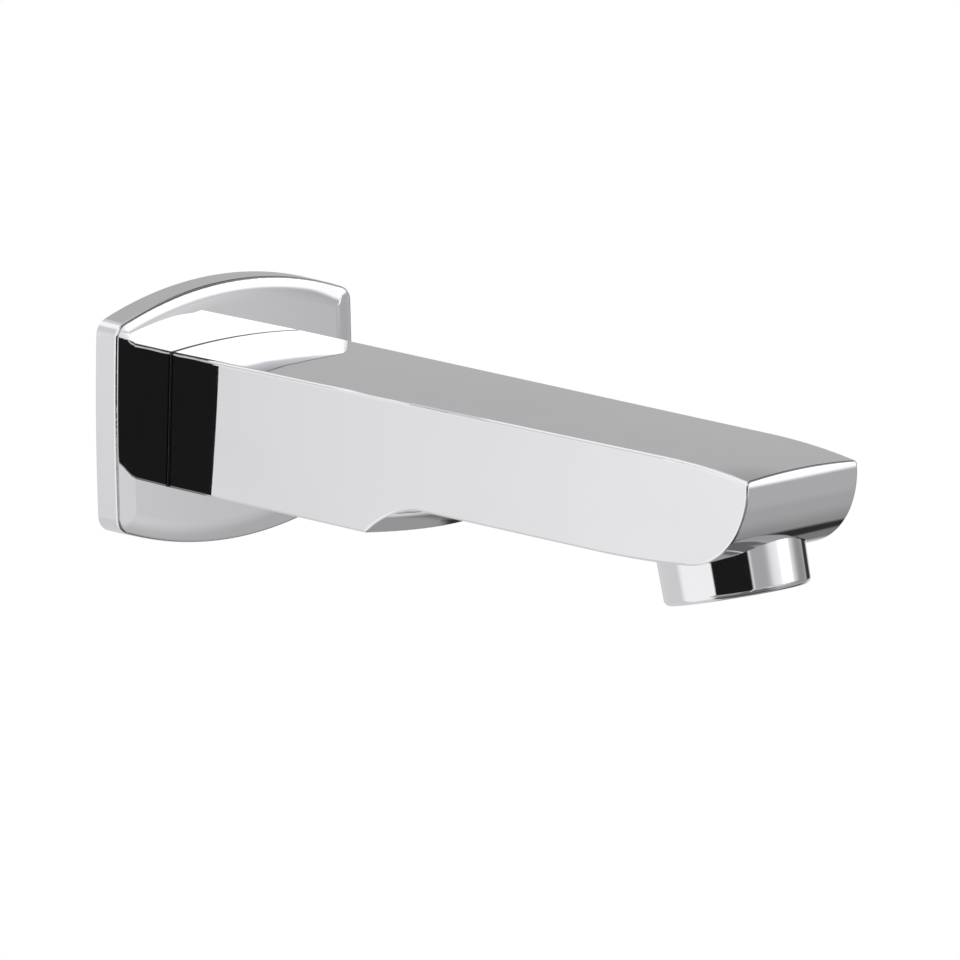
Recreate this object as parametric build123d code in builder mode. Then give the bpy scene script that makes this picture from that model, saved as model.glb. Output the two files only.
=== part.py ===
"""Wall-mounted bath spout: a hollow cast bar, its wall flange and its screw-in aerator.

Millimetres. Z is up, the wall is the plane y = 0, and the bar reaches out along -Y.
The origin is the mouth of the inlet socket, on the wall.
Threads are modelled plain, at their pitch diameters.
"""
import os
from math import cos, hypot, radians, sin, sqrt, tan

from build123d import *

# Wall flange
flange_width = 60.4
flange_side_bow = 0.4
flange_side_height = 39.3
flange_arch_rise = 5.8
flange_centre_height = -0.3
flange_corner_radius = 3.2
flange_depth = 6.1
flange_draft = 1.5
flange_wall = 1.8
flange_plate = 2.4
flange_bevel_width = 2.4
flange_bevel_drop = 0.38
flange_edge_radius = 0.6
flange_soften_radius = 24.0

# Bar: widths and heights are those of its long top edges
reach = 159.6
root_width = 33.2
tip_width = 27.7
side_lean = 2.35
edge_height = 13.15
crown_radius = 150.0
crown_height_root = 14.05
crown_height_fall = 13.80
crown_height_tip = 12.25
top_fall_length = 21.0
root_bottom = -13.15
underside = -6.82
nose_radius = 15.8
nose_centre_height = 10.0
nose_top_sweep = 25.0
underside_rise = 5.5
edge_radius = 0.8
nose_edge_radius = 0.45
root_edge_radius = 0.3

# Step on the underside, where the deep root ends in a hollow curve
step_reach = 66.8
step_plan_radius = 27.4
step_hollow_radius = 16.9

# Tail and inlet socket
tail_width = 28.0
tail_height = 23.6
tail_corner_radius = 8.0
tail_clearance = 0.2
inlet_radius = 9.9
inlet_depth = 16.0

# Waterway
bar_wall = 3.0
water_top = 10.0
water_corner_chamfer = 1.2
chamber_lead = 2.4
outlet_rear_wall = 3.4
outlet_shoulder = 1.2

# Outlet socket: a tilted axis, measured up from the centre of the mouth of the aerator
outlet_tilt = 14.2
outlet_setback = 16.1
outlet_drop = 6.75
outlet_hole_radius = 9.5
socket_thread_radius = 11.68

# Aerator
collar_radius_top = 13.6
collar_radius_bottom = 13.4
collar_height = 10.6
collar_lower_edge = 1.2
collar_upper_edge = 0.35
collar_clearance = 0.2
neck_length = 5.0
thread_clearance = 0.08
housing_bore = 10.2
lip_bore = 9.4
lip_height = 1.4
lip_edge_radius = 0.4
neck_chamfer = 0.6
insert_clearance = 0.08
basket_wall = 1.1
basket_shelf = 0.6
shelf_height = 7.0
grille_thickness = 1.2
grille_bar = 0.75
grille_ring_pitch = 2.3
grille_spokes = 8
window_count = 6
window_width = 4.0
window_height = 2.4
mesh_thickness = 0.35
mesh_pitch = 1.9
mesh_wire = 0.55
mesh_rim = 0.4
jet_plate_thickness = 2.0
jet_count = 12
jet_radius = 0.7
jet_circle_radius = 6.2
jet_hub_radius = 4.6
jet_hub_height = 1.4
jet_hub_taper = 40.0
screen_rim = 1.2
screen_dome_radius = 8.6
screen_dome_height = 1.6
screen_hole = 0.95
screen_hole_pitch = 1.6
screen_plain_margin = 1.5
screen_thickness = 0.8
washer_thickness = 1.2
washer_bore = 9.2

# Seal round the tail, between the flange and the wall
seal_width = 3.5
seal_clearance = 0.05

# Room that a former is drawn past the part, overlap of a cut, and slack in choosing edges
FREE = 60.0
OVERCUT = 0.5
NEAR = 0.05

# Local plane of the side view: reach to the right, height upwards
side_view = Plane(origin=(0, 0, 0), x_dir=(0, -1, 0), z_dir=(-1, 0, 0))

mouth_height = underside - outlet_drop
outlet_reach = reach - outlet_setback
outlet_up = Vector(0, sin(radians(outlet_tilt)), cos(radians(outlet_tilt)))
mouth = Vector(0, -outlet_reach, mouth_height)
outlet = Plane(origin=mouth, x_dir=(1, 0, 0), z_dir=outlet_up)
outlet_axis = Axis(mouth, outlet_up)
# Local plane through the outlet's axis: radius to the right, height above the mouth upwards
outlet_section = Plane(origin=mouth, x_dir=(1, 0, 0), z_dir=Vector(1, 0, 0).cross(outlet_up))

neck_top = collar_height + neck_length
socket_top = neck_top + washer_thickness
nose_centre_reach = reach - nose_radius
step_axis_reach = step_reach - step_plan_radius


def bar_side(hand: int, inset: float = 0.0) -> Plane:
    """Plane of one long side: it closes in towards the nose and spreads towards the underside."""
    closing = (root_width - tip_width) / 2 / (reach - flange_depth)
    along = Vector(-hand * closing, -1, 0)
    down = Vector(hand * tan(radians(side_lean)), 0, -1)
    outwards = along.cross(down).normalized()
    outwards = outwards if outwards.X * hand > 0 else outwards * -1
    on_edge = Vector(hand * root_width / 2, -flange_depth, edge_height)
    return Plane(origin=on_edge - outwards * inset, x_dir=along, z_dir=outwards)


def flange_outline(inset: float = 0.0) -> Sketch:
    """Outline of the flange, drawn in by a margin: faintly bowed sides and arched ends."""
    wide = flange_width / 2 - inset
    half = wide - flange_side_bow
    side = flange_side_height / 2 - inset
    peak = side + flange_arch_rise
    with BuildSketch() as outline:
        with BuildLine():
            ThreePointArc((half, -side), (wide, 0), (half, side))
            ThreePointArc((half, side), (0, peak), (-half, side))
            ThreePointArc((-half, side), (-wide, 0), (-half, -side))
            ThreePointArc((-half, -side), (0, -peak), (half, -side))
        make_face()
        fillet(outline.vertices(), flange_corner_radius - inset)
    return outline.sketch.moved(Location((0, flange_centre_height)))


def tail_outline(grow: float = 0.0, mode: Mode = Mode.ADD) -> None:
    """Rounded rectangle of the body's tail, let out by a margin, in the current sketch."""
    RectangleRounded(tail_width + 2 * grow, tail_height + 2 * grow, tail_corner_radius + grow, mode=mode)


# Former for the underside: deep root, hollow step, long underside and quarter-round nose
rise = radians(underside_rise)
nose_start = (nose_centre_reach + nose_radius * sin(rise), nose_centre_height - nose_radius * cos(rise))
underside_end = nose_start[0] - (nose_start[1] - underside) / tan(rise / 2)
hollow_run = sqrt(step_hollow_radius**2 - (step_hollow_radius - (underside - root_bottom)) ** 2)
hollow_reach = step_plan_radius + hollow_run

with BuildPart() as underside_former:
    with BuildSketch(side_view):
        with BuildLine():
            rear = Polyline((flange_depth, FREE), (flange_depth, root_bottom), (step_axis_reach, root_bottom),
                            (step_axis_reach, underside), (underside_end, underside))
            blend = TangentArc(rear @ 1, nose_start, tangent=(1, 0))
            nose = CenterArc((nose_centre_reach, nose_centre_height), nose_radius, underside_rise - 90,
                             90 - underside_rise + nose_top_sweep)
            Polyline(nose @ 1, ((nose @ 1).X, FREE), (flange_depth, FREE))
        make_face()
    extrude(amount=FREE, both=True)
    with BuildSketch(side_view):
        with BuildLine():
            foot = Polyline((step_axis_reach, underside + OVERCUT), (step_axis_reach, root_bottom),
                            (step_axis_reach + step_plan_radius, root_bottom))
            hollow = RadiusArc(foot @ 1, (step_axis_reach + hollow_reach, underside), step_hollow_radius)
            Polyline(hollow @ 1, (step_axis_reach + hollow_reach, underside + OVERCUT), foot @ 0)
        make_face()
    revolve(axis=Axis((0, -step_axis_reach, 0), (0, 0, 1)))

# Former for the top: crowned across, level along most of its length, then falling to the nose
crown_axis_height = crown_height_root - crown_radius
with BuildPart() as top_former:
    with BuildSketch(side_view):
        with BuildLine():
            level = Line((0, crown_height_root), (reach - top_fall_length, crown_height_fall))
            fall = TangentArc(level @ 1, (reach, crown_height_tip), tangent=level % 1)
            beyond = Line(fall @ 1, (fall @ 1) + (fall % 1) * nose_radius)
            Polyline(beyond @ 1, ((beyond @ 1).X, crown_axis_height), (0, crown_axis_height), level @ 0)
        make_face()
    revolve(axis=Axis((0, 0, crown_axis_height), (0, -1, 0)))

# Waterway: a cored channel that follows the bar, climbs behind the outlet socket and opens into it
chamber_floor = socket_top + outlet_shoulder
low_floor = underside + bar_wall
socket_back = -(socket_thread_radius + outlet_rear_wall)
tilt = radians(outlet_tilt)


def above_mouth(forward: float, up: float) -> tuple[float, float]:
    """Side-view point at a distance forward and up from the mouth, in the tilted axes of the outlet."""
    return (outlet_reach + forward * cos(tilt) - up * sin(tilt),
            mouth_height + forward * sin(tilt) + up * cos(tilt))


climb = (low_floor - mouth_height - socket_back * sin(tilt)) / cos(tilt)
chamber_rear = above_mouth(socket_back, chamber_floor)
chamber_front = above_mouth(outlet_hole_radius + chamber_lead, chamber_floor)

with BuildPart() as waterway:
    with BuildSketch(side_view):
        Polygon((inlet_depth, root_bottom + bar_wall),
                (step_axis_reach + step_plan_radius / 2, root_bottom + bar_wall),
                (step_axis_reach + hollow_reach, low_floor),
                above_mouth(socket_back, climb),
                chamber_rear,
                chamber_front,
                (chamber_front[0], water_top),
                (inlet_depth, water_top), align=None)
    extrude(amount=FREE, both=True)
    for hand in (-1, 1):
        split(bisect_by=bar_side(hand, bar_wall), keep=Keep.BOTTOM)
    chamfer(waterway.edges().filter_by(Axis.X, reverse=True).filter_by(GeomType.LINE), water_corner_chamfer)

# Cast bar with its tail, inlet socket, waterway and outlet socket
with BuildPart() as spout_body:
    add(underside_former.part)
    add(top_former.part, mode=Mode.INTERSECT)
    for hand in (-1, 1):
        split(bisect_by=bar_side(hand), keep=Keep.BOTTOM)
    split(bisect_by=Plane.XZ.offset(flange_depth), keep=Keep.TOP)

    flank_from = 0.9 * tip_width / 2
    flanks = spout_body.edges().filter_by(lambda e: abs((e @ 0.5).X) > flank_from)
    flanks = flanks.filter_by(lambda e: (e @ 0.5).Y < -flange_depth - NEAR)
    fillet(flanks.filter_by(lambda e: (e @ 0.5).Z > crown_height_tip), edge_radius)

    flanks = spout_body.edges().filter_by(lambda e: abs((e @ 0.5).X) > flank_from)
    flanks = flanks.filter_by(lambda e: (e @ 0.5).Y < -flange_depth - NEAR)
    lower_flanks = flanks.filter_by(lambda e: (e @ 0.5).Z < nose_centre_height)
    step_edge = spout_body.edges().filter_by(GeomType.CIRCLE).sort_by(Axis.Z)[0]
    tip_edge = spout_body.edges().sort_by_distance((0, -reach, crown_height_tip))[0]
    fillet(lower_flanks + [step_edge, tip_edge], nose_edge_radius)

    fillet(spout_body.faces().filter_by(Axis.Y).sort_by(Axis.Y)[-1].edges(), root_edge_radius)

    with BuildSketch(Plane.XZ):
        tail_outline()
    extrude(amount=flange_depth + root_edge_radius)
    with BuildSketch(Plane.XZ):
        Circle(inlet_radius)
    extrude(amount=inlet_depth + bar_wall, mode=Mode.SUBTRACT)
    add(waterway.part, mode=Mode.SUBTRACT)
    with BuildSketch(outlet_section):
        Polygon((0, -FREE),
                (collar_radius_top + collar_clearance, -FREE),
                (collar_radius_top + collar_clearance, collar_height),
                (socket_thread_radius, collar_height),
                (socket_thread_radius, socket_top),
                (outlet_hole_radius, socket_top),
                (outlet_hole_radius, chamber_floor + bar_wall / 2),
                (0, chamber_floor + bar_wall / 2), align=None)
    revolve(axis=outlet_axis, mode=Mode.SUBTRACT)
spout_body.part.label = "spout_body"

# Wall flange: a pillowed cover, hollow behind, with an opening for the tail
with BuildPart() as wall_flange:
    with BuildSketch(Plane.XZ):
        add(flange_outline(-flange_depth * tan(radians(flange_draft))))
    extrude(amount=flange_depth, taper=flange_draft)
    front = wall_flange.faces().sort_by(Axis.Y)[0]
    chamfer(front.edges(), flange_bevel_width, flange_bevel_drop, reference=front)
    front = wall_flange.faces().filter_by(Axis.Y).sort_by(Axis.Y)[0]
    fillet(front.edges(), flange_soften_radius)
    rim_depth = flange_depth - flange_bevel_drop
    rim = wall_flange.edges().filter_by(lambda e: abs((e @ 0.5).Y + rim_depth) < NEAR)
    fillet(rim, flange_edge_radius)
    with BuildSketch(Plane.XZ):
        add(flange_outline(flange_wall))
    extrude(amount=flange_depth - flange_plate, mode=Mode.SUBTRACT)
    with BuildSketch(Plane.XZ):
        tail_outline(tail_clearance)
    extrude(amount=flange_depth, mode=Mode.SUBTRACT)
wall_flange.part.label = "wall_flange"

# Rubber seal round the tail, pressed between the flange and the wall
with BuildPart() as flange_seal:
    with BuildSketch(Plane.XZ):
        tail_outline(seal_clearance + seal_width)
        tail_outline(seal_clearance, mode=Mode.SUBTRACT)
    extrude(amount=flange_depth - flange_plate)
flange_seal.part.label = "flange_seal"

# Aerator housing: a turned collar below a threaded neck
neck_radius = socket_thread_radius - thread_clearance
with BuildPart() as aerator_housing:
    with BuildSketch(outlet_section):
        with BuildLine():
            Polyline((lip_bore, 0), (collar_radius_bottom, 0), (collar_radius_top, collar_height),
                     (neck_radius, collar_height), (neck_radius, neck_top), (housing_bore, neck_top),
                     (housing_bore, lip_height), (lip_bore, lip_height), close=True)
        make_face()
    revolve(axis=outlet_axis)
    rings = aerator_housing.edges().filter_by(GeomType.CIRCLE)
    by_size = rings.sort_by(SortBy.RADIUS)
    chamfer(by_size[-1], collar_upper_edge)
    fillet(by_size[-2], collar_lower_edge)
    lip_edge = aerator_housing.faces().sort_by_distance(mouth)[0].edges().sort_by(SortBy.RADIUS)[0]
    fillet(lip_edge, lip_edge_radius)
    neck_edge = aerator_housing.edges().filter_by(GeomType.CIRCLE)
    neck_edge = neck_edge.filter_by(lambda e: abs(e.radius - neck_radius) < NEAR)
    chamfer(neck_edge.sort_by_distance(mouth)[-1], neck_chamfer)
aerator_housing.part.label = "aerator_housing"

# Flat washer between the neck and the shoulder of the outlet socket
with BuildPart() as aerator_washer:
    with BuildSketch(outlet.offset(neck_top)):
        Circle(neck_radius - neck_chamfer / 2)
        Circle(washer_bore, mode=Mode.SUBTRACT)
    extrude(amount=washer_thickness)
aerator_washer.part.label = "aerator_washer"

# Basket: a moulded cup with a ring-and-spoke grille below, air windows and a shelf for the jet plate
basket_radius = housing_bore - insert_clearance
basket_bore = basket_radius - basket_wall
shelf_bore = basket_bore - basket_shelf
basket_top = neck_top - screen_rim
grille_top = lip_height + grille_thickness
with BuildPart() as aerator_basket:
    with BuildSketch(outlet.offset(lip_height)):
        Circle(basket_radius)
        Circle(shelf_bore, mode=Mode.SUBTRACT)
        for ring in (3, 2, 1):
            Circle(ring * grille_ring_pitch + grille_bar / 2)
            Circle(ring * grille_ring_pitch - grille_bar / 2, mode=Mode.SUBTRACT)
        with PolarLocations(0, grille_spokes // 2, angular_range=180):
            Rectangle(2 * shelf_bore + basket_wall, grille_bar)
    extrude(amount=grille_thickness)
    with BuildSketch(outlet.offset(lip_height)):
        Circle(basket_radius)
        Circle(shelf_bore, mode=Mode.SUBTRACT)
    extrude(amount=shelf_height - lip_height)
    with BuildSketch(outlet.offset(shelf_height)):
        Circle(basket_radius)
        Circle(basket_bore, mode=Mode.SUBTRACT)
    extrude(amount=basket_top - shelf_height)
    with BuildSketch(outlet.offset((grille_top + shelf_height - window_height) / 2)):
        with PolarLocations(0, window_count // 2):
            Rectangle(2 * (basket_radius + OVERCUT), window_width)
        Circle(shelf_bore - OVERCUT, mode=Mode.SUBTRACT)
    extrude(amount=window_height, mode=Mode.SUBTRACT)
aerator_basket.part.label = "aerator_basket"


def grid_within(radius: float, pitch: float) -> list[tuple[float, float]]:
    """Points of a square grid about the centre that lie inside a circle."""
    count = int(radius / pitch)
    steps = [pitch * i for i in range(-count, count + 1)]
    return [(u, v) for u in steps for v in steps if hypot(u, v) < radius]


def mesh_disc(height: float, turn: float) -> Part:
    """Steel mesh disc lying at a height above the mouth, its wires turned about the outlet's axis."""
    radius = shelf_bore - insert_clearance
    hole = mesh_pitch - mesh_wire
    places = grid_within(radius - mesh_rim - hole / sqrt(2), mesh_pitch)
    wires = Plane(outlet.offset(height).origin, outlet.x_dir.rotate(outlet_axis, turn), outlet_up)
    with BuildPart() as disc:
        with BuildSketch(wires):
            Circle(radius)
            with Locations(*places):
                Rectangle(hole, hole, mode=Mode.SUBTRACT)
        extrude(amount=mesh_thickness)
    return disc.part


aerator_mesh_lower = mesh_disc(grille_top, 0)
aerator_mesh_lower.label = "aerator_mesh_lower"
aerator_mesh_upper = mesh_disc(grille_top + mesh_thickness, 45)
aerator_mesh_upper.label = "aerator_mesh_upper"

# Jet plate: a thick disc on the shelf, with a ring of jets round a raised hub
with BuildPart() as aerator_jet_plate:
    with BuildSketch(outlet.offset(shelf_height)):
        Circle(basket_bore - insert_clearance)
    extrude(amount=jet_plate_thickness)
    with BuildSketch(outlet.offset(shelf_height + jet_plate_thickness)):
        Circle(jet_hub_radius)
    extrude(amount=jet_hub_height, taper=jet_hub_taper)
    with BuildSketch(outlet.offset(shelf_height)):
        with PolarLocations(jet_circle_radius, jet_count):
            Circle(jet_radius)
    extrude(amount=jet_plate_thickness, mode=Mode.SUBTRACT)
aerator_jet_plate.part.label = "aerator_jet_plate"

# Dirt screen: a rim held under the washer, and a low pierced dome
dome_curve = (screen_dome_radius**2 + screen_dome_height**2) / (2 * screen_dome_height)
with BuildPart() as aerator_dirt_screen:
    with BuildSketch(outlet_section):
        with BuildLine():
            rim_line = Polyline((screen_dome_radius - screen_thickness, basket_top),
                                (basket_radius, basket_top), (basket_radius, neck_top),
                                (screen_dome_radius, neck_top))
            over = RadiusArc(rim_line @ 1, (0, neck_top + screen_dome_height), -dome_curve)
            drop = Line(over @ 1, (0, neck_top + screen_dome_height - screen_thickness))
            under = RadiusArc(drop @ 1, (screen_dome_radius - screen_thickness, neck_top - screen_thickness),
                              dome_curve - screen_thickness)
            Line(under @ 1, rim_line @ 0)
        make_face()
    revolve(axis=outlet_axis)
    with BuildSketch(outlet.offset(basket_top)):
        with Locations(*grid_within(screen_dome_radius - screen_plain_margin, screen_hole_pitch)):
            Rectangle(screen_hole, screen_hole)
    extrude(amount=screen_rim + 2 * screen_dome_height, mode=Mode.SUBTRACT)
aerator_dirt_screen.part.label = "aerator_dirt_screen"

pieces = [spout_body.part, wall_flange.part, flange_seal.part, aerator_housing.part, aerator_washer.part,
          aerator_basket.part, aerator_mesh_lower, aerator_mesh_upper, aerator_jet_plate.part,
          aerator_dirt_screen.part]
os.makedirs("parts", exist_ok=True)
for piece in pieces:
    export_step(piece, f"parts/{piece.label}.step")
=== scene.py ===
"""Chrome bath spout in a plain bright studio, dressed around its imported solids.

Metres. Z is up, the wall is the plane y = 0, and the spout reaches out along -Y.
"""
import logging
import math
from dataclasses import dataclass, field
from enum import Enum
from typing import Any, Optional, Union

import bmesh
import bpy
from mathutils import Matrix, Vector

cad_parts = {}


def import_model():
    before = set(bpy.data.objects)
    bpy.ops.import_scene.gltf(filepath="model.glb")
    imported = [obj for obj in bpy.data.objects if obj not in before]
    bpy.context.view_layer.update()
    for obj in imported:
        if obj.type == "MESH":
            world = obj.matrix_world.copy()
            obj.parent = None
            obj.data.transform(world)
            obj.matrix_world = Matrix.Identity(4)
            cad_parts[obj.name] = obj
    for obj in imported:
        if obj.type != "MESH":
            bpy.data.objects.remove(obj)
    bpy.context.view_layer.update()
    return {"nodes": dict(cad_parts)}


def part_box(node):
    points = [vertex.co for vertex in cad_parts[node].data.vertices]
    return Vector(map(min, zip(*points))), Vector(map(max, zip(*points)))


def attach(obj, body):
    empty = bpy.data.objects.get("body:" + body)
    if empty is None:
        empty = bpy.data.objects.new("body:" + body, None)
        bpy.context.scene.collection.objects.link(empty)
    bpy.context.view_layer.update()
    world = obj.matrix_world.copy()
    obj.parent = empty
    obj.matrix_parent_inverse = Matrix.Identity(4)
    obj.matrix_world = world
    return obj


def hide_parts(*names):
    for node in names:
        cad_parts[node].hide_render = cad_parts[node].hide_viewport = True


LOG = logging.getLogger("bath_spout")
ROOT = "root"
MM = 0.001
MERGE_DISTANCE = 0.001 * MM
ORIGIN = (0.0, 0.0, 0.0)

Number = Union[int, float]
Triple = tuple[float, float, float]
Nodes = dict[str, bpy.types.Object]


class Slot(Enum):
    """Names of the record's material slots."""

    CHROME = "chrome"
    MESH = "mesh"


class Ray(Enum):
    """Kinds of ray that the studio answers in its own way."""

    CAMERA = "Is Camera Ray"
    GLOSSY = "Is Glossy Ray"
    TRANSMISSION = "Is Transmission Ray"


class Sock:
    """An output socket that answers to arithmetic by adding Math nodes."""

    def __init__(self, graph: "Graph", link: Optional[bpy.types.NodeSocket]) -> None:
        """Wraps one output socket of a graph."""
        self.graph = graph
        self.link = link

    def math(self, operation: str, *others: Any) -> "Sock":
        """Feeds this value and others to a Math node.

        Args:
            operation: The Math node's operation.
            others: Further inputs, sockets or numbers.

        Returns:
            The node's value.
        """
        values = dict(enumerate((self,) + others))
        return self.graph.node("ShaderNodeMath", {"operation": operation}, values)

    def __add__(self, other: Any) -> "Sock":
        """Sum."""
        return self.math("ADD", other)

    def __radd__(self, other: Number) -> "Sock":
        """Sum with a number on the left."""
        return self.math("ADD", other)

    def __sub__(self, other: Any) -> "Sock":
        """Difference."""
        return self.math("SUBTRACT", other)

    def __rsub__(self, other: Number) -> "Sock":
        """A number less this value."""
        return self.math("MULTIPLY_ADD", -1.0, other)

    def __mul__(self, other: Any) -> "Sock":
        """Product."""
        return self.math("MULTIPLY", other)

    def __rmul__(self, other: Number) -> "Sock":
        """Product with a number on the left."""
        return self.math("MULTIPLY", other)

    def __neg__(self) -> "Sock":
        """Negative."""
        return self.math("MULTIPLY", -1.0)

    def __abs__(self) -> "Sock":
        """Size without its sign."""
        return self.math("ABSOLUTE")

    def either(self, other: Any) -> "Sock":
        """The larger of two values."""
        return self.math("MAXIMUM", other)

    def step(self, low: Number, high: Number) -> "Sock":
        """Smooth step from 0 at low to 1 at high; low may be the larger of the two."""
        values = {"Value": self, "From Min": low, "From Max": high}
        return self.graph.node("ShaderNodeMapRange", {"interpolation_type": "SMOOTHSTEP"}, values)


class Graph:
    """Nodes of one material or world."""

    def __init__(self, tree: bpy.types.NodeTree) -> None:
        """Starts from an emptied tree."""
        tree.nodes.clear()
        self.tree = tree

    def node(self, kind: str, settings: Optional[dict[str, Any]] = None,
             inputs: Optional[dict[Any, Any]] = None, output: Any = 0) -> Sock:
        """Adds a node.

        Args:
            kind: The node's type name.
            settings: Properties that are set first.
            inputs: Socket names or indices, with the values or links they take.
            output: Name or index of the output that is handed back.

        Returns:
            That output, ready for arithmetic.
        """
        made = self.tree.nodes.new(kind)
        for name, value in (settings or {}).items():
            setattr(made, name, value)
        for name, value in (inputs or {}).items():
            if isinstance(value, Sock):
                self.tree.links.new(value.link, made.inputs[name])
            else:
                made.inputs[name].default_value = value
        return Sock(self, made.outputs[output] if made.outputs else None)

    def place(self) -> Sock:
        """The piece's own coordinates, which are those of the frame."""
        return self.node("ShaderNodeTexCoord", output="Object")

    def axes(self, vector: Sock) -> tuple[Sock, Sock, Sock]:
        """A vector's three parts."""
        x, y, z = self.node("ShaderNodeSeparateXYZ", None, {0: vector}).link.node.outputs
        return Sock(self, x), Sock(self, y), Sock(self, z)

    def noise(self, scale: float, detail: float = 3.0, stretch: Triple = (1.0, 1.0, 1.0)) -> Sock:
        """Noise on the piece's own coordinates.

        Args:
            scale: Features per metre.
            detail: Octaves added.
            stretch: Factors on the coordinates; a small one draws the noise out along that axis.

        Returns:
            A value from 0 to 1.
        """
        drawn = self.node("ShaderNodeMapping", None, {"Vector": self.place(), "Scale": stretch})
        return self.node("ShaderNodeTexNoise", None, {"Vector": drawn, "Scale": scale, "Detail": detail})

    def patches(self, scale: float, detail: float = 5.0, start: float = 0.35, full: float = 0.75) -> Sock:
        """Soft-edged patches: 0 where the noise is below start, 1 where it is past full."""
        return self.noise(scale, detail).step(start, full)

    def bump(self, height: Sock, strength: float, distance: float) -> Sock:
        """Normal raised by a height, over a distance in metres."""
        values = {"Height": height, "Strength": strength, "Distance": distance}
        return self.node("ShaderNodeBump", None, values)

    def blend(self, factor: Any, first: Any, second: Any) -> Sock:
        """Mixes two colours.

        Args:
            factor: Share of the second colour.
            first: A colour, as a triple or a socket.
            second: The other colour.

        Returns:
            The mixed colour.
        """
        ends = [end if isinstance(end, Sock) else (*end, 1.0) for end in (first, second)]
        inputs = {0: factor, 6: ends[0], 7: ends[1]}
        return self.node("ShaderNodeMix", {"data_type": "RGBA"}, inputs, output=2)

    def is_ray(self, ray: Ray) -> Sock:
        """1 for rays of a kind, 0 for others."""
        return self.node("ShaderNodeLightPath", output=ray.value)


@dataclass(frozen=True)
class Finish:
    """A surface, made into a material the first time that it is asked for."""

    name: str

    def material(self) -> bpy.types.Material:
        """Makes the finish's material, unless it is there already.

        Returns:
            The material.
        """
        if self.name not in bpy.data.materials:
            made = bpy.data.materials.new(self.name)
            made.use_nodes = True
            graph = Graph(made.node_tree)
            graph.node("ShaderNodeOutputMaterial", None, {"Surface": self.shader(graph)})
        return bpy.data.materials[self.name]

    def shader(self, g: Graph) -> Sock:
        """Lays out the finish's nodes and hands back its shader."""
        raise NotImplementedError


@dataclass(frozen=True)
class Chrome(Finish):
    """Polished plating: a clear mirror with faint wiping haze and a hair of waviness."""

    colour: Triple = (0.862, 0.857, 0.880)
    haze: Triple = (0.838, 0.835, 0.859)
    roughness: float = 0.022
    haze_roughness: float = 0.03
    haze_scale: float = 38.0
    haze_detail: float = 4.0
    haze_start: float = 0.42
    haze_full: float = 0.74
    wave_scale: float = 60.0
    wave_detail: float = 1.0
    wave_strength: float = 0.02
    wave_height: float = 0.2 * MM

    def surface(self, g: Graph) -> tuple[Sock, Sock, Sock]:
        """Lays out the plating.

        Args:
            g: The material's graph.

        Returns:
            Its colour, roughness and normal.
        """
        cloud = g.patches(self.haze_scale, self.haze_detail, self.haze_start, self.haze_full)
        colour = g.blend(cloud, self.colour, self.haze)
        wave = g.noise(self.wave_scale, self.wave_detail)
        normal = g.bump(wave, self.wave_strength, self.wave_height)
        return colour, self.roughness + cloud * self.haze_roughness, normal

    def shader(self, g: Graph) -> Sock:
        """Metal with the plating's colour, roughness and normal."""
        colour, roughness, normal = self.surface(g)
        return g.node("ShaderNodeBsdfPrincipled", None,
                      {"Base Color": colour, "Metallic": 1.0, "Roughness": roughness, "Normal": normal})


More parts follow.
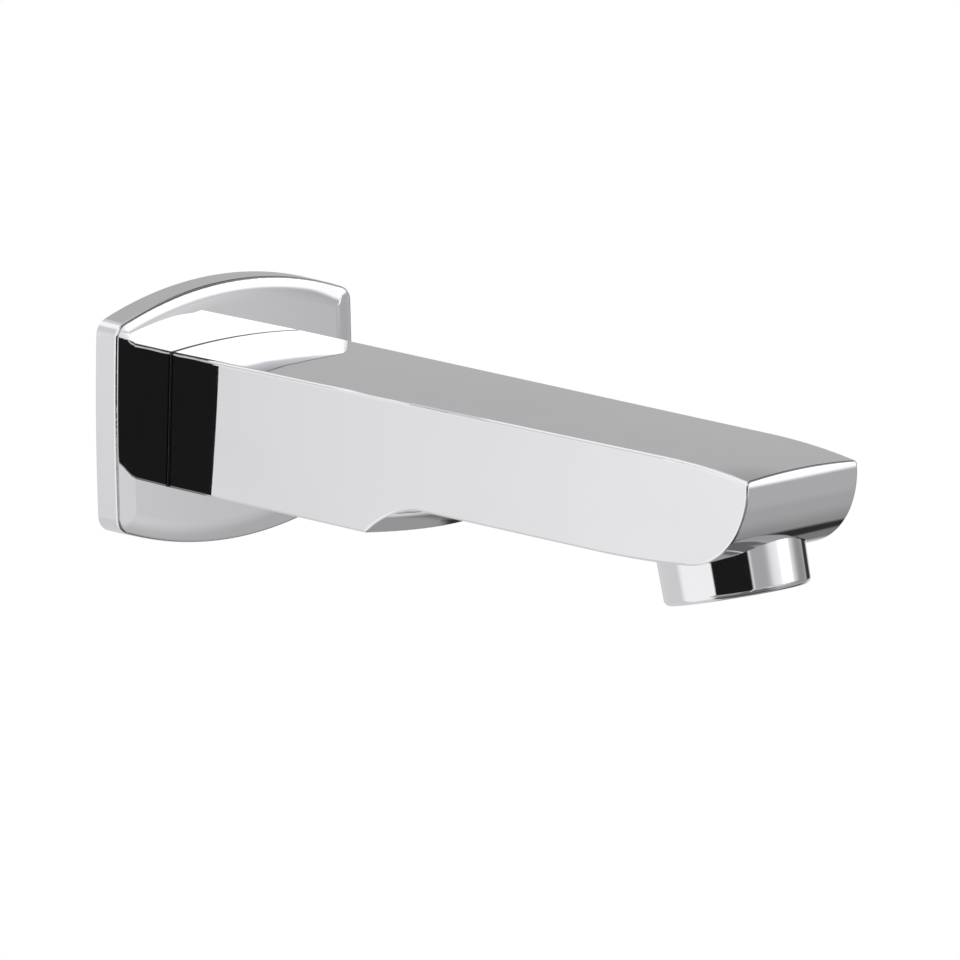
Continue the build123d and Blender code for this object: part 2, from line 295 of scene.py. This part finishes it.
@dataclass(frozen=True)
class PlatedCasting(Chrome):
    """Plating over a brass casting, with the cored and bored inside left bare.

    The inside is told from the outside by place: the bore round the inlet's axis, and the waterway between
    the bar's walls, roof and floor. Distances are in metres, and reach is counted from the wall.
    """

    brass: Triple = (0.74, 0.55, 0.29)
    brass_dark: Triple = (0.50, 0.35, 0.17)
    brass_roughness: float = 0.3
    brass_patch_scale: float = 420.0
    bore_radius: float = 10.4 * MM
    bore_end: float = 19.5 * MM
    way_half_width: float = 12.3 * MM
    way_roof: float = 11.0 * MM
    way_floor_root: float = -11.5 * MM
    way_floor_bar: float = -5.2 * MM
    way_start: float = 15.0 * MM
    way_end: float = 122.0 * MM
    step_start: float = 53.0 * MM
    step_end: float = 80.0 * MM
    soft: float = 0.15 * MM
    # Painted shade: a near-black colour that stands in for the shadow in the gap where the bar meets the
    # flange.
    seam_shade: Triple = (0.07, 0.07, 0.075)
    seam_reach: float = 6.1 * MM
    seam_shade_width: float = 0.85 * MM

    def inside(self, g: Graph) -> Sock:
        """Tells the bare inside of the casting from its outside.

        Args:
            g: The material's graph.

        Returns:
            1 inside, 0 outside.
        """
        x, y, z = g.axes(g.place())
        reach = -y
        radius = (x * x + z * z).math("SQRT")
        bore = radius.step(self.bore_radius + self.soft, self.bore_radius - self.soft)
        bore = bore * reach.step(self.bore_end + self.soft, self.bore_end - self.soft)
        floor = reach.step(self.step_start, self.step_end) * (self.way_floor_bar - self.way_floor_root)
        above_floor = z - floor - self.way_floor_root
        way = abs(x).step(self.way_half_width + self.soft, self.way_half_width - self.soft)
        way = way * z.step(self.way_roof + self.soft, self.way_roof - self.soft)
        way = way * above_floor.step(-self.soft, self.soft)
        way = way * reach.step(self.way_start - self.soft, self.way_start + self.soft)
        way = way * reach.step(self.way_end + self.soft, self.way_end - self.soft)
        return bore.either(way)

    def in_seam_shade(self, g: Graph) -> Sock:
        """Finds the fine band of painted shade in the seam where the bar meets the flange.

        Args:
            g: The material's graph.

        Returns:
            1 in the band of painted seam shade, 0 elsewhere.
        """
        reach = -g.axes(g.place())[1]
        near = reach.step(self.seam_reach + self.seam_shade_width, self.seam_reach + 0.5 * self.seam_shade_width)
        return near * reach.step(self.seam_reach - 2.0 * self.soft, self.seam_reach - self.soft)

    def shader(self, g: Graph) -> Sock:
        """Lays out plating outside, with painted shade in the seam at the flange, and bare brass inside.

        Args:
            g: The material's graph.

        Returns:
            Its shader.
        """
        colour, roughness, normal = self.surface(g)
        # Painted shade: the plating's colour is darkened in a thin band beside the flange, for the shadow
        # in the seam.
        colour = g.blend(self.in_seam_shade(g), colour, self.seam_shade)
        bare = self.inside(g)
        brass = g.blend(g.patches(self.brass_patch_scale), self.brass, self.brass_dark)
        return g.node("ShaderNodeBsdfPrincipled", None,
                      {"Base Color": g.blend(bare, colour, brass), "Metallic": 1.0,
                       "Roughness": roughness + bare * self.brass_roughness, "Normal": normal})


@dataclass(frozen=True)
class HollowCover(Chrome):
    """Plating over a cast cover whose hollow back is left bare. The hollow's duller, darker colour is
    partly the bare casting and partly painted shade of the hollow.

    The hollow is told from the outside by place, at the middle of the cover's wall.
    """

    # Partly the bare casting's own colour and partly painted shade of the hollow back.
    bare: Triple = (0.47, 0.46, 0.44)
    bare_dark: Triple = (0.36, 0.355, 0.345)
    bare_roughness: float = 0.42
    bare_patch_scale: float = 520.0
    half_width: float = 30.2 * MM
    side_half_height: float = 19.65 * MM
    arch_rise: float = 5.8 * MM
    centre_height: float = -0.3 * MM
    wall_middle: float = 0.9 * MM
    hollow_depth: float = 3.9 * MM
    soft: float = 0.12 * MM

    def hollow(self, g: Graph) -> Sock:
        """Tells the bare hollow back from the outside.

        Args:
            g: The material's graph.

        Returns:
            1 in the hollow, 0 outside.
        """
        x, y, z = g.axes(g.place())
        share = x * (1.0 / self.half_width)
        top = self.side_half_height + self.arch_rise - self.wall_middle - share * share * self.arch_rise
        room = top - abs(z - self.centre_height)
        inner = room.step(-self.soft, self.soft)
        side = self.half_width - self.wall_middle
        inner = inner * abs(x).step(side + self.soft, side - self.soft)
        return inner * (-y).step(self.hollow_depth + self.soft, self.hollow_depth - self.soft)

    def shader(self, g: Graph) -> Sock:
        """Lays out plating outside, and in the hollow a bare casting colour that is partly painted shade.

        Args:
            g: The material's graph.

        Returns:
            Its shader.
        """
        colour, roughness, normal = self.surface(g)
        bare = self.hollow(g)
        # Painted shade in part: the hollow's darker bare casting colour also stands in for the shade inside
        # it.
        bare_casting_and_shade = g.blend(g.patches(self.bare_patch_scale), self.bare, self.bare_dark)
        return g.node("ShaderNodeBsdfPrincipled", None,
                      {"Base Color": g.blend(bare, colour, bare_casting_and_shade), "Metallic": 1.0,
                       "Roughness": roughness + bare * self.bare_roughness, "Normal": normal})


@dataclass(frozen=True)
class CutBrass(Finish):
    """Brass fresh from a cutting tool, with fine marks round the bore."""

    bright: Triple = (0.80, 0.60, 0.32)
    dull: Triple = (0.60, 0.43, 0.21)
    roughness: float = 0.2
    mark_scale: float = 900.0
    mark_detail: float = 3.0
    mark_stretch: Triple = (0.2, 4.0, 0.2)
    mark_roughness: float = 0.15
    mark_strength: float = 0.2
    mark_height: float = 0.02 * MM

    def shader(self, g: Graph) -> Sock:
        """Lays out metal streaked along the tool's path.

        Args:
            g: The material's graph.

        Returns:
            Its shader.
        """
        marks = g.noise(self.mark_scale, self.mark_detail, self.mark_stretch)
        normal = g.bump(marks, self.mark_strength, self.mark_height)
        return g.node("ShaderNodeBsdfPrincipled", None,
                      {"Base Color": g.blend(marks, self.bright, self.dull), "Metallic": 1.0,
                       "Roughness": self.roughness + marks * self.mark_roughness, "Normal": normal})


@dataclass(frozen=True)
class Moulded(Finish):
    """Moulded rubber or plastic: matt, slightly mottled, with a fine grain."""

    colour: Triple
    mottle: Triple
    roughness: float
    grain_strength: float
    mottle_scale: float = 240.0
    mottle_detail: float = 4.0
    mottle_start: float = 0.35
    mottle_full: float = 0.7
    mottle_roughness: float = 0.12
    grain_scale: float = 2600.0
    grain_height: float = 0.06 * MM

    def shader(self, g: Graph) -> Sock:
        """Lays out mottled colour and roughness, with the grain as bump.

        Args:
            g: The material's graph.

        Returns:
            Its shader.
        """
        mottle = g.patches(self.mottle_scale, self.mottle_detail, self.mottle_start, self.mottle_full)
        grain = g.noise(self.grain_scale)
        return g.node("ShaderNodeBsdfPrincipled", None,
                      {"Base Color": g.blend(mottle, self.colour, self.mottle),
                       "Roughness": self.roughness + mottle * self.mottle_roughness,
                       "Normal": g.bump(grain, self.grain_strength, self.grain_height)})


@dataclass(frozen=True)
class DrawnWire(Finish):
    """Stainless wire, duller than the plating, with drawing marks."""

    colour: Triple = (0.58, 0.57, 0.55)
    dull: Triple = (0.44, 0.435, 0.42)
    roughness: float = 0.26
    mark_scale: float = 1600.0
    mark_roughness: float = 0.16

    def shader(self, g: Graph) -> Sock:
        """Metal with drawn marks in colour and roughness."""
        marks = g.noise(self.mark_scale)
        return g.node("ShaderNodeBsdfPrincipled", None,
                      {"Base Color": g.blend(marks, self.colour, self.dull), "Metallic": 1.0,
                       "Roughness": self.roughness + marks * self.mark_roughness})


CHROME = Chrome("polished_chrome")
PLATED_CASTING = PlatedCasting("plated_casting")
PLATED_COVER = HollowCover("plated_cover")
CUT_BRASS = CutBrass("cut_brass")
RUBBER = Moulded("black_rubber", colour=(0.024, 0.024, 0.026), mottle=(0.045, 0.045, 0.047),
                 roughness=0.6, grain_strength=0.35)
PALE_PLASTIC = Moulded("pale_plastic", colour=(0.70, 0.71, 0.72), mottle=(0.62, 0.635, 0.65),
                       roughness=0.38, grain_strength=0.2)
DARK_PLASTIC = Moulded("dark_plastic", colour=(0.06, 0.068, 0.076), mottle=(0.10, 0.108, 0.118),
                       roughness=0.36, grain_strength=0.2)
WIRE = DrawnWire("drawn_wire")


def dress(item: bpy.types.Object, finish: Finish) -> None:
    """Gives a piece or node its finish as its only material.

    Args:
        item: The piece or node.
        finish: Its finish.
    """
    item.data.materials.clear()
    item.data.materials.append(finish.material())
    LOG.info("%s: %s", item.name, finish.name)


def new_piece(name: str, shape: bmesh.types.BMesh, finish: Finish,
              replaced: Optional[str] = None, sharp_angle: float = 65.0) -> bpy.types.Object:
    """Makes a finished piece of a bmesh, which is freed.

    Args:
        name: The piece's name.
        shape: Its shape, in the frame's place.
        finish: Its finish.
        replaced: The node that it stands for, if any.
        sharp_angle: Angle in degrees past which an edge stays crisp.

    Returns:
        The piece.
    """
    bmesh.ops.remove_doubles(shape, verts=shape.verts, dist=MERGE_DISTANCE)
    bmesh.ops.holes_fill(shape, edges=shape.edges)
    bmesh.ops.recalc_face_normals(shape, faces=shape.faces)
    for face in shape.faces:
        face.smooth = True
    for edge in shape.edges:
        edge.smooth = edge.calc_face_angle(0.0) < math.radians(sharp_angle)
    mesh = bpy.data.meshes.new(name)
    shape.to_mesh(mesh)
    shape.free()
    piece = bpy.data.objects.new(name, mesh)
    bpy.context.scene.collection.objects.link(piece)
    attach(piece, ROOT)
    if replaced:
        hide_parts(replaced)
    dress(piece, finish)
    return piece


@dataclass
class CastBar:
    """The spout's hollow casting and the pipe thread cut in its inlet."""

    node: str = "spout_body"
    thread_pitch: float = 1.814 * MM
    thread_root: float = 9.95 * MM
    thread_crest: float = 9.32 * MM
    thread_half_root: float = 0.62 * MM
    thread_half_crest: float = 0.16 * MM
    thread_start: float = 1.3 * MM
    thread_end: float = 15.0 * MM
    run_out_turns: float = 0.6
    steps_per_turn: int = 48

    def build(self) -> None:
        """Winds the thread's ridge into the inlet."""
        shape = bmesh.new()
        outline = [(-self.thread_half_root, self.thread_root), (-self.thread_half_crest, self.thread_crest),
                   (self.thread_half_crest, self.thread_crest), (self.thread_half_root, self.thread_root)]
        corners = [shape.verts.new((radius, -self.thread_start - along, 0.0)) for along, radius in outline]
        section = shape.faces.new(corners)
        turns = (self.thread_end - self.thread_start) / self.thread_pitch
        steps = round(turns * self.steps_per_turn)
        bmesh.ops.spin(shape, geom=[section, *section.edges, *corners], cent=ORIGIN, axis=(0.0, 1.0, 0.0),
                       dvec=(0.0, -self.thread_pitch / self.steps_per_turn, 0.0),
                       angle=math.tau * steps / self.steps_per_turn, steps=steps, use_merge=False)
        self.run_out(shape)
        new_piece("inlet_thread", shape, CUT_BRASS)

    def run_out(self, shape: bmesh.types.BMesh) -> None:
        """Lets the ridge die away into the wall at both of its ends.

        Args:
            shape: The wound ridge.
        """
        fade = self.run_out_turns * self.thread_pitch
        for vert in shape.verts:
            depth = -vert.co.y
            height = min(depth - self.thread_start, self.thread_end - depth) / fade
            keep = min(max(height, 0.0), 1.0)
            radius = math.hypot(vert.co.x, vert.co.z)
            wanted = self.thread_root + (radius - self.thread_root) * keep
            vert.co.x *= wanted / radius
            vert.co.z *= wanted / radius

    def dress(self, nodes: Nodes) -> None:
        """Plates the casting."""
        dress(nodes[self.node], PLATED_CASTING)


@dataclass
class WallCover:
    """The flange against the wall, with the seal in its hollow back."""

    flange: str = "wall_flange"
    seal: str = "flange_seal"

    def dress(self, nodes: Nodes) -> None:
        """Plates the flange and blackens the seal."""
        dress(nodes[self.flange], PLATED_COVER)
        dress(nodes[self.seal], RUBBER)


@dataclass
class WovenScreen:
    """A disc of woven wire in a pressed rim, in the place of a flat pierced disc."""

    node: str
    turn: float
    tilt: float
    wire: float = 0.2 * MM
    wave: float = 0.075 * MM
    pitch: float = 0.95 * MM
    rim_width: float = 0.45 * MM
    rim_height: float = 0.35 * MM
    rim_segments: int = 72
    wire_sides: int = 6
    steps_per_pitch: int = 4

    def build(self) -> None:
        """Weaves the wires, rims them and lays the disc in place."""
        low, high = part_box(self.node)
        radius = (high.x - low.x) / 2
        shape = bmesh.new()
        self.weave(shape, radius - self.rim_width / 2)
        self.rim(shape, radius)
        turned = Matrix.Rotation(math.radians(self.turn), 3, "Z")
        leaning = Matrix.Rotation(-math.radians(self.tilt), 3, "X") @ turned
        bmesh.ops.rotate(shape, cent=ORIGIN, matrix=leaning, verts=shape.verts)
        bmesh.ops.translate(shape, vec=(low + high) / 2, verts=shape.verts)
        new_piece(self.node + "_woven", shape, WIRE, replaced=self.node)

    def weave(self, shape: bmesh.types.BMesh, reach: float) -> None:
        """Draws the waved wires along X, then lays a copy of them across, the other way up.

        Args:
            shape: The screen.
            reach: Radius that the wires' ends come to.
        """
        count = int(reach / self.pitch)
        for row in range(-count, count + 1):
            self.wire_along(shape, row * self.pitch, reach)
        for vert in shape.verts:
            turns = vert.co.x / self.pitch + round(vert.co.y / self.pitch)
            vert.co.z += self.wave * math.cos(math.pi * turns)
        whole = [*shape.verts, *shape.edges, *shape.faces]
        copied = bmesh.ops.duplicate(shape, geom=whole)["geom"]
        across = [item for item in copied if isinstance(item, bmesh.types.BMVert)]
        quarter_turn = Matrix.Rotation(math.pi / 2, 3, "Z")
        bmesh.ops.rotate(shape, cent=ORIGIN, matrix=quarter_turn, verts=across)
        bmesh.ops.scale(shape, vec=(1.0, 1.0, -1.0), verts=across)

    def wire_along(self, shape: bmesh.types.BMesh, aside: float, reach: float) -> None:
        """Draws a straight wire from rim to rim, in steps that can be waved.

        Args:
            shape: The screen.
            aside: The wire's distance from the middle.
            reach: Radius that the wire's ends come to.
        """
        half = math.sqrt(reach**2 - aside**2)
        steps = max(2, round(2 * half / self.pitch * self.steps_per_pitch))
        start = Matrix.Translation((-half, aside, 0.0)) @ Matrix.Rotation(math.pi / 2, 4, "Y")
        circle = bmesh.ops.create_circle(shape, segments=self.wire_sides, radius=self.wire / 2,
                                         matrix=start)
        ring = circle["verts"]
        edges = list({edge for vert in ring for edge in vert.link_edges})
        bmesh.ops.spin(shape, geom=ring + edges, cent=ORIGIN, axis=(1.0, 0.0, 0.0),
                       dvec=(2 * half / steps, 0.0, 0.0), angle=0.0, steps=steps, use_merge=False)

    def rim(self, shape: bmesh.types.BMesh, radius: float) -> None:
        """Spins the flat rim about the disc's middle.

        Args:
            shape: The screen.
            radius: The rim's outer radius.
        """
        half = self.rim_height / 2
        inner = radius - self.rim_width
        outline = [(radius, -half), (radius, half), (inner, half), (inner, -half)]
        corners = [shape.verts.new((across, 0.0, up)) for across, up in outline]
        edges = [shape.edges.new((a, b)) for a, b in zip(corners, corners[1:] + corners[:1])]
        bmesh.ops.spin(shape, geom=corners + edges, cent=ORIGIN, axis=(0.0, 0.0, 1.0),
                       angle=math.tau, steps=self.rim_segments, use_merge=True)


@dataclass
class Aerator:
    """The screw-in outlet: its plated ring, washer, moulded insert and wire screens."""

    tilt: float = 14.2
    finishes: dict[str, Finish] = field(default_factory=lambda: {
        "aerator_housing": CHROME,
        "aerator_washer": RUBBER,
        "aerator_basket": PALE_PLASTIC,
        "aerator_jet_plate": DARK_PLASTIC,
        "aerator_dirt_screen": PALE_PLASTIC,
        "aerator_mesh_lower": WIRE,
        "aerator_mesh_upper": WIRE,
    })

    def build(self) -> None:
        """Weaves the two screens, one turned half a square against the other."""
        WovenScreen("aerator_mesh_lower", turn=0.0, tilt=self.tilt).build()
        WovenScreen("aerator_mesh_upper", turn=45.0, tilt=self.tilt).build()

    def dress(self, nodes: Nodes) -> None:
        """Gives each node its finish."""
        for name, finish in self.finishes.items():
            dress(nodes[name], finish)


@dataclass(frozen=True)
class Card:
    """A soft-edged panel of the studio, placed by the directions that it fills.

    Azimuths turn from +X towards +Y and elevations rise from the horizon, in degrees.
    """

    azimuth: float
    half_width: float
    low: float
    high: float
    value: float
    soft_side: float = 4.0
    soft_low: float = 4.0
    soft_high: float = 4.0

    def lay(self, ray: tuple[Sock, Sock, Sock], under: Any) -> Sock:
        """Lays the card over what is there already.

        Args:
            ray: The ray's x, y and z.
            under: Brightness so far, a socket or a number.

        Returns:
            Brightness with the card.
        """
        x, y, z = ray
        turn = math.radians(self.azimuth)
        ahead = x * math.cos(turn) + y * math.sin(turn)
        aside = y * math.cos(turn) - x * math.sin(turn)
        angle = abs(aside.math("ARCTAN2", ahead))
        mask = angle.step(math.radians(self.half_width + self.soft_side),
                          math.radians(self.half_width - self.soft_side))
        if self.low > -90.0:
            mask = mask * z.step(rise(self.low - self.soft_low), rise(self.low + self.soft_low))
        if self.high < 90.0:
            mask = mask * z.step(rise(self.high + self.soft_high), rise(self.high - self.soft_high))
        return mask * (self.value - under) + under


def rise(elevation: float) -> float:
    """Height of a unit ray at an elevation in degrees, held at straight up and down."""
    return math.sin(math.radians(min(max(elevation, -90.0), 90.0)))


STUDIO_CARDS = [
    # Below, and the walls behind, which the bar's side and top mirror
    Card(azimuth=0.0, half_width=200.0, low=-90.0, high=-50.0, value=0.30, soft_high=6.0),
    Card(azimuth=115.0, half_width=68.0, low=-90.0, high=-30.0, value=0.72, soft_side=6.0),
    Card(azimuth=140.0, half_width=64.0, low=-60.0, high=80.0, value=0.68, soft_side=8.0),
    Card(azimuth=175.0, half_width=40.0, low=-60.0, high=80.0, value=1.0, soft_side=7.0),
    Card(azimuth=120.0, half_width=32.0, low=36.0, high=75.0, value=1.05, soft_side=8.0),
    Card(azimuth=47.0, half_width=24.0, low=-8.0, high=46.0, value=0.48, soft_side=6.0),
    Card(azimuth=50.0, half_width=14.0, low=-32.0, high=-8.0, value=0.62, soft_side=3.0),
    # Low in front, from dark to grey, which the nose and the lower edges mirror
    Card(azimuth=-80.0, half_width=88.0, low=-86.0, high=-50.0, value=0.06, soft_side=6.0),
    Card(azimuth=-112.0, half_width=52.0, low=-60.0, high=-13.0, value=0.16, soft_side=6.0),
    Card(azimuth=-20.0, half_width=40.0, low=-54.0, high=-13.0, value=0.40, soft_side=8.0, soft_high=2.5),
    Card(azimuth=0.0, half_width=16.0, low=-54.0, high=-38.0, value=0.29, soft_side=14.0),
    Card(azimuth=26.0, half_width=12.0, low=-54.0, high=-27.0, value=0.20, soft_side=6.0),
    Card(azimuth=9.5, half_width=7.5, low=-52.0, high=-32.0, value=0.03, soft_side=4.0),
    Card(azimuth=15.0, half_width=30.0, low=-85.0, high=-53.0, value=0.34, soft_side=6.0),
    Card(azimuth=-47.0, half_width=14.0, low=-30.0, high=-3.0, value=0.45, soft_side=4.0, soft_high=2.0),
    Card(azimuth=-66.0, half_width=17.0, low=-21.0, high=-3.0, value=0.72, soft_side=3.0, soft_low=6.0,
         soft_high=2.0),
    # Straight in front, to the right and overhead
    Card(azimuth=-92.0, half_width=16.0, low=-6.0, high=34.0, value=0.42, soft_side=6.0),
    Card(azimuth=-32.0, half_width=80.0, low=31.0, high=90.0, value=0.06, soft_side=8.0, soft_low=8.0),
    Card(azimuth=-12.0, half_width=18.0, low=-25.0, high=90.0, value=0.30, soft_side=12.0),
    Card(azimuth=15.5, half_width=10.5, low=-14.5, high=-2.5, value=0.04, soft_side=3.5, soft_low=2.0,
         soft_high=1.5),
    Card(azimuth=0.0, half_width=200.0, low=66.0, high=90.0, value=0.42, soft_low=10.0),
    # The bright window at the right front, which the flange and the outlet ring mirror
    Card(azimuth=-50.0, half_width=20.0, low=-1.8, high=20.5, value=1.02, soft_side=18.0, soft_low=1.8),
    Card(azimuth=-45.5, half_width=10.5, low=-1.8, high=20.5, value=1.5, soft_side=4.0, soft_low=1.8,
         soft_high=2.5),
    Card(azimuth=-45.2, half_width=1.2, low=-10.0, high=2.0, value=1.15, soft_side=0.5, soft_low=1.5),
    # The dark round the camera, with a thin strip beside it and grey below
    Card(azimuth=-107.5, half_width=2.0, low=-30.0, high=40.0, value=0.70, soft_side=1.0),
    Card(azimuth=-148.0, half_width=24.0, low=-34.0, high=-11.8, value=0.40, soft_side=6.0, soft_low=12.0,
         soft_high=0.8),
    Card(azimuth=-138.0, half_width=29.0, low=-11.8, high=13.0, value=0.012, soft_side=1.5, soft_low=0.8,
         soft_high=3.0),
]


@dataclass
class Studio:
    """Bright room: soft cards that metal mirrors, white to the camera, over a pale floor."""

    cards: list[Card] = field(default_factory=lambda: list(STUDIO_CARDS))
    base: float = 0.70
    plain_level: float = 0.85
    floor_drop: float = 1.3
    floor_half: float = 40.0
    floor_colour: Triple = (0.9, 0.9, 0.9)
    white: Triple = (1.0, 1.0, 1.0)

    def light(self, scene: bpy.types.Scene) -> None:
        """Builds the world: plain light all round, its cards in metal and glass, white behind.

        Args:
            scene: The scene that it lights.
        """
        scene.world = bpy.data.worlds.new("studio")
        scene.world.use_nodes = True
        scene.world.cycles.sampling_method = "NONE"
        g = Graph(scene.world.node_tree)
        ray = g.axes(g.node("ShaderNodeTexCoord", output="Generated"))
        mirrored: Any = self.base
        for card in self.cards:
            mirrored = card.lay(ray, mirrored)
        in_metal = g.is_ray(Ray.GLOSSY).either(g.is_ray(Ray.TRANSMISSION))
        level = self.plain_level + in_metal * (mirrored - self.plain_level)
        shown = level + g.is_ray(Ray.CAMERA) * (1.0 - level)
        light = g.node("ShaderNodeBackground", None, {"Color": (*self.white, 1.0), "Strength": shown})
        g.node("ShaderNodeOutputWorld", None, {"Surface": light})

    def floor(self) -> None:
        """Lays the floor well below the spout: pale paint, lifted to white for the camera."""
        shape = bmesh.new()
        bmesh.ops.create_grid(shape, x_segments=1, y_segments=1, size=self.floor_half)
        bmesh.ops.translate(shape, vec=(0.0, 0.0, -self.floor_drop), verts=shape.verts)
        mesh = bpy.data.meshes.new("studio_floor")
        shape.to_mesh(mesh)
        shape.free()
        plane = bpy.data.objects.new("studio_floor", mesh)
        bpy.context.scene.collection.objects.link(plane)
        plane.visible_glossy = False
        mesh.materials.append(self.paint())

    def paint(self) -> bpy.types.Material:
        """Makes the floor's paint.

        Returns:
            The material.
        """
        paint = bpy.data.materials.new("floor_paint")
        paint.use_nodes = True
        g = Graph(paint.node_tree)
        dull = g.node("ShaderNodeBsdfDiffuse", None, {"Color": (*self.floor_colour, 1.0)})
        missing = 1.0 - self.plain_level * self.floor_colour[0]
        lift = g.node("ShaderNodeEmission", None, {"Color": (*self.white, 1.0), "Strength": missing})
        lifted = g.node("ShaderNodeAddShader", None, {0: dull, 1: lift})
        shown = g.node("ShaderNodeMixShader", None, {0: g.is_ray(Ray.CAMERA), 1: dull, 2: lifted})
        g.node("ShaderNodeOutputMaterial", None, {"Surface": shown})
        return paint


@dataclass(frozen=True)
class PhotoCamera:
    """Camera of the photograph, above the left front of the spout."""

    place: Triple = (-0.92203, -1.07179, 0.28951)
    turn: float = -42.77
    fall: float = 12.17
    lens: float = 279.61
    sensor: float = 36.0

    def set_up(self, scene: bpy.types.Scene) -> None:
        """Makes the camera and gives it to the scene.

        Args:
            scene: The scene that it looks at.
        """
        data = bpy.data.cameras.new("photo_camera")
        data.sensor_width = self.sensor
        data.lens = self.lens
        camera = bpy.data.objects.new("photo_camera", data)
        camera.location = self.place
        camera.rotation_euler = (math.radians(90.0 - self.fall), 0.0, math.radians(self.turn))
        scene.collection.objects.link(camera)
        scene.camera = camera


def main() -> None:
    """Builds and dresses the sub-assemblies in order, then the studio and the camera."""
    logging.basicConfig(level=logging.INFO, format="%(message)s")
    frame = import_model()
    scene = bpy.context.scene
    scene.view_settings.view_transform = "Standard"

    bar = CastBar()
    bar.build()
    bar.dress(frame["nodes"])
    WallCover().dress(frame["nodes"])
    aerator = Aerator()
    aerator.build()
    aerator.dress(frame["nodes"])

    studio = Studio()
    studio.light(scene)
    studio.floor()
    PhotoCamera().set_up(scene)


if __name__ == "__main__":
    main()
